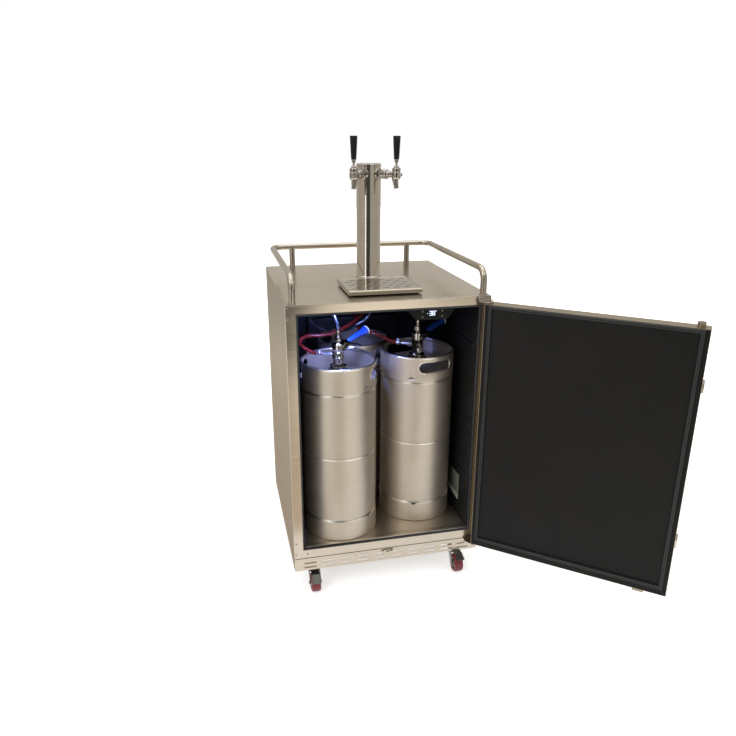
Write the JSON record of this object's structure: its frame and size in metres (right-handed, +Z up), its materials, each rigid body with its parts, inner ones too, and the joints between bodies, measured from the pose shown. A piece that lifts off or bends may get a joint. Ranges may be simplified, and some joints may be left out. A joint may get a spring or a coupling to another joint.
{
  "type": "kegerator",
  "caption": "Beer dispenser: draft tower with taps, drip tray and guard rail on an insulated steel cabinet on casters, its hinged door open on a cold bay of kegs with couplers and hoses.",
  "frame": {"origin": "middle of the whole part's box in plan, at the floor under the casters", "axes": "+Z up, the door side faces -Y, the cabinet's back faces +Y"},
  "size_m": [1.0878, 1.0442, 1.3853],
  "materials": {
    "brushed_stainless_steel": "satin",
    "zinc_plate": "satin",
    "blue_lamp_cover": "satin",
    "insulation_foam": "matte",
    "black_moulded_plastic": "satin",
    "black_enamel": "gloss",
    "polished_stainless_steel": "polished",
    "black_gasket_rubber": "matte",
    "charcoal_door_panel": "matte",
    "red_polyurethane": "satin",
    "chrome_plate": "polished",
    "clear_beer_line": "gloss",
    "blue_moulded_grip": "satin",
    "red_gas_hose": "satin",
    "matt_drawn_stainless_steel": "satin"
  },
  "bodies": {
    "cabinet": {"back_panel": "brushed_stainless_steel", "base_frame": "zinc_plate", "bay_lamp": "blue_lamp_cover", "cabinet_foam": "insulation_foam", "cold_air_cover": "black_moulded_plastic", "compressor": "black_enamel", "control_panel": "black_moulded_plastic", "floor_plate": "brushed_stainless_steel", "front_frame": "brushed_stainless_steel", "gas_inlet": "chrome_plate", "guard_rail": "brushed_stainless_steel", "inner_liner": "black_moulded_plastic", "kick_plate": "brushed_stainless_steel", "left_beer_line": "clear_beer_line", "left_coupler_body": "chrome_plate", "left_faucet_body": "chrome_plate", "left_gas_hose": "red_gas_hose", "left_keg": "matt_drawn_stainless_steel", "left_side_panel": "brushed_stainless_steel", "left_tap_shank": "chrome_plate", "lower_hinge": "polished_stainless_steel", "rear_keg": "matt_drawn_stainless_steel", "right_beer_line": "clear_beer_line", "right_coupler_body": "chrome_plate", "right_faucet_body": "chrome_plate", "right_gas_hose": "red_gas_hose", "right_keg": "matt_drawn_stainless_steel", "right_side_panel": "brushed_stainless_steel", "right_tap_shank": "chrome_plate", "top_panel": "brushed_stainless_steel", "tower_cap": "polished_stainless_steel", "tower_column": "polished_stainless_steel", "upper_hinge": "polished_stainless_steel"},
    "door": {"door_skin": "brushed_stainless_steel", "door_liner": "charcoal_door_panel", "door_gasket": "black_gasket_rubber", "door_handle": "polished_stainless_steel"},
    "fan": {"fan_rotor": "black_moulded_plastic"},
    "button_1": {"control_button_1": "polished_stainless_steel"},
    "button_2": {"control_button_2": "polished_stainless_steel"},
    "button_3": {"control_button_3": "polished_stainless_steel"},
    "button_4": {"control_button_4": "polished_stainless_steel"},
    "left_tap": {"left_tap_lever": "chrome_plate", "left_tap_handle": "black_moulded_plastic"},
    "left_coupler_lever": {"left_coupler_handle": "blue_moulded_grip"},
    "right_tap": {"right_tap_lever": "chrome_plate", "right_tap_handle": "black_moulded_plastic"},
    "right_coupler_lever": {"right_coupler_handle": "blue_moulded_grip"},
    "tray": {"drip_tray": "polished_stainless_steel"},
    "grate": {"drip_grate": "polished_stainless_steel"},
    "front_left_swivel": {"front_left_caster_fork": "zinc_plate"},
    "front_left_roller": {"front_left_caster_wheel": "red_polyurethane"},
    "front_right_swivel": {"front_right_caster_fork": "zinc_plate"},
    "front_right_roller": {"front_right_caster_wheel": "red_polyurethane"},
    "rear_left_swivel": {"rear_left_caster_fork": "zinc_plate"},
    "rear_left_roller": {"rear_left_caster_wheel": "red_polyurethane"},
    "rear_right_swivel": {"rear_right_caster_fork": "zinc_plate"},
    "rear_right_roller": {"rear_right_caster_wheel": "red_polyurethane"},
    "front_left_brake": {"front_left_caster_pedal": "zinc_plate"},
    "front_right_brake": {"front_right_caster_pedal": "zinc_plate"}
  },
  "joints": [
    {"name": "door_hinge", "type": "hinge", "parent": "cabinet", "child": "door", "pos_m": [0.04759, -0.13189, 0.523], "axis": [0, 0, 1], "range_deg": [-139.9, 0]},
    {"name": "fan_spin", "type": "hinge", "parent": "cabinet", "child": "fan", "pos_m": [-0.24041, 0.45285, 0.665], "axis": [0, 1, 0], "continuous": true},
    {"name": "button_1_press", "type": "slide", "parent": "cabinet", "child": "button_1", "axis": [0, 1, 0], "range_m": [0, 0.0012], "stiffness_N_per_m": 300},
    {"name": "button_2_press", "type": "slide", "parent": "cabinet", "child": "button_2", "axis": [0, 1, 0], "range_m": [0, 0.0012], "stiffness_N_per_m": 300},
    {"name": "button_3_press", "type": "slide", "parent": "cabinet", "child": "button_3", "axis": [0, 1, 0], "range_m": [0, 0.0012], "stiffness_N_per_m": 300},
    {"name": "button_4_press", "type": "slide", "parent": "cabinet", "child": "button_4", "axis": [0, 1, 0], "range_m": [0, 0.0012], "stiffness_N_per_m": 300},
    {"name": "left_tap_pull", "type": "hinge", "parent": "cabinet", "child": "left_tap", "pos_m": [-0.30541, 0.10186, 1.2958], "axis": [0.7986, -0.6018, 0], "range_deg": [0, 35]},
    {"name": "left_coupler_pull", "type": "hinge", "parent": "cabinet", "child": "left_coupler_lever", "pos_m": [-0.37341, 0.02311, 0.7729], "axis": [-0.4226, 0.9063, 0], "range_deg": [-20, 15]},
    {"name": "right_tap_pull", "type": "hinge", "parent": "cabinet", "child": "right_tap", "pos_m": [-0.17542, 0.10186, 1.2958], "axis": [0.7986, 0.6018, 0], "range_deg": [0, 35]},
    {"name": "right_coupler_pull", "type": "hinge", "parent": "cabinet", "child": "right_coupler_lever", "pos_m": [-0.10141, 0.08311, 0.7729], "axis": [-0.4226, 0.9063, 0], "range_deg": [-20, 15]},
    {"name": "tray_lift", "type": "slide", "parent": "cabinet", "child": "tray", "axis": [0, 0, 1], "range_m": [0, 0.06]},
    {"name": "grate_lift", "type": "slide", "parent": "tray", "child": "grate", "axis": [0, 0, 1], "range_m": [0, 0.04]},
    {"name": "front_left_swivel_turn", "type": "hinge", "parent": "cabinet", "child": "front_left_swivel", "pos_m": [-0.47941, -0.06989, 0.08], "axis": [0, 0, 1], "continuous": true},
    {"name": "front_left_wheel_roll", "type": "hinge", "parent": "front_left_swivel", "child": "front_left_roller", "pos_m": [-0.47941, -0.10289, 0.03], "axis": [1, 0, 0], "continuous": true},
    {"name": "front_right_swivel_turn", "type": "hinge", "parent": "cabinet", "child": "front_right_swivel", "pos_m": [-0.00141, -0.06989, 0.08], "axis": [0, 0, 1], "continuous": true},
    {"name": "front_right_wheel_roll", "type": "hinge", "parent": "front_right_swivel", "child": "front_right_roller", "pos_m": [-0.00141, -0.10289, 0.03], "axis": [1, 0, 0], "continuous": true},
    {"name": "rear_left_swivel_turn", "type": "hinge", "parent": "cabinet", "child": "rear_left_swivel", "pos_m": [-0.47941, 0.46315, 0.08], "axis": [0, 0, 1], "continuous": true},
    {"name": "rear_left_wheel_roll", "type": "hinge", "parent": "rear_left_swivel", "child": "rear_left_roller", "pos_m": [-0.47941, 0.43015, 0.03], "axis": [1, 0, 0], "continuous": true},
    {"name": "rear_right_swivel_turn", "type": "hinge", "parent": "cabinet", "child": "rear_right_swivel", "pos_m": [-0.00141, 0.46315, 0.08], "axis": [0, 0, 1], "continuous": true},
    {"name": "rear_right_wheel_roll", "type": "hinge", "parent": "rear_right_swivel", "child": "rear_right_roller", "pos_m": [-0.00141, 0.43015, 0.03], "axis": [1, 0, 0], "continuous": true},
    {"name": "front_left_brake_turn", "type": "hinge", "parent": "front_left_swivel", "child": "front_left_brake", "pos_m": [-0.47941, -0.08989, 0.065], "axis": [1, 0, 0], "range_deg": [-18, 0]},
    {"name": "front_right_brake_turn", "type": "hinge", "parent": "front_right_swivel", "child": "front_right_brake", "pos_m": [-0.00141, -0.08989, 0.065], "axis": [1, 0, 0], "range_deg": [0, 18]}
  ]
}
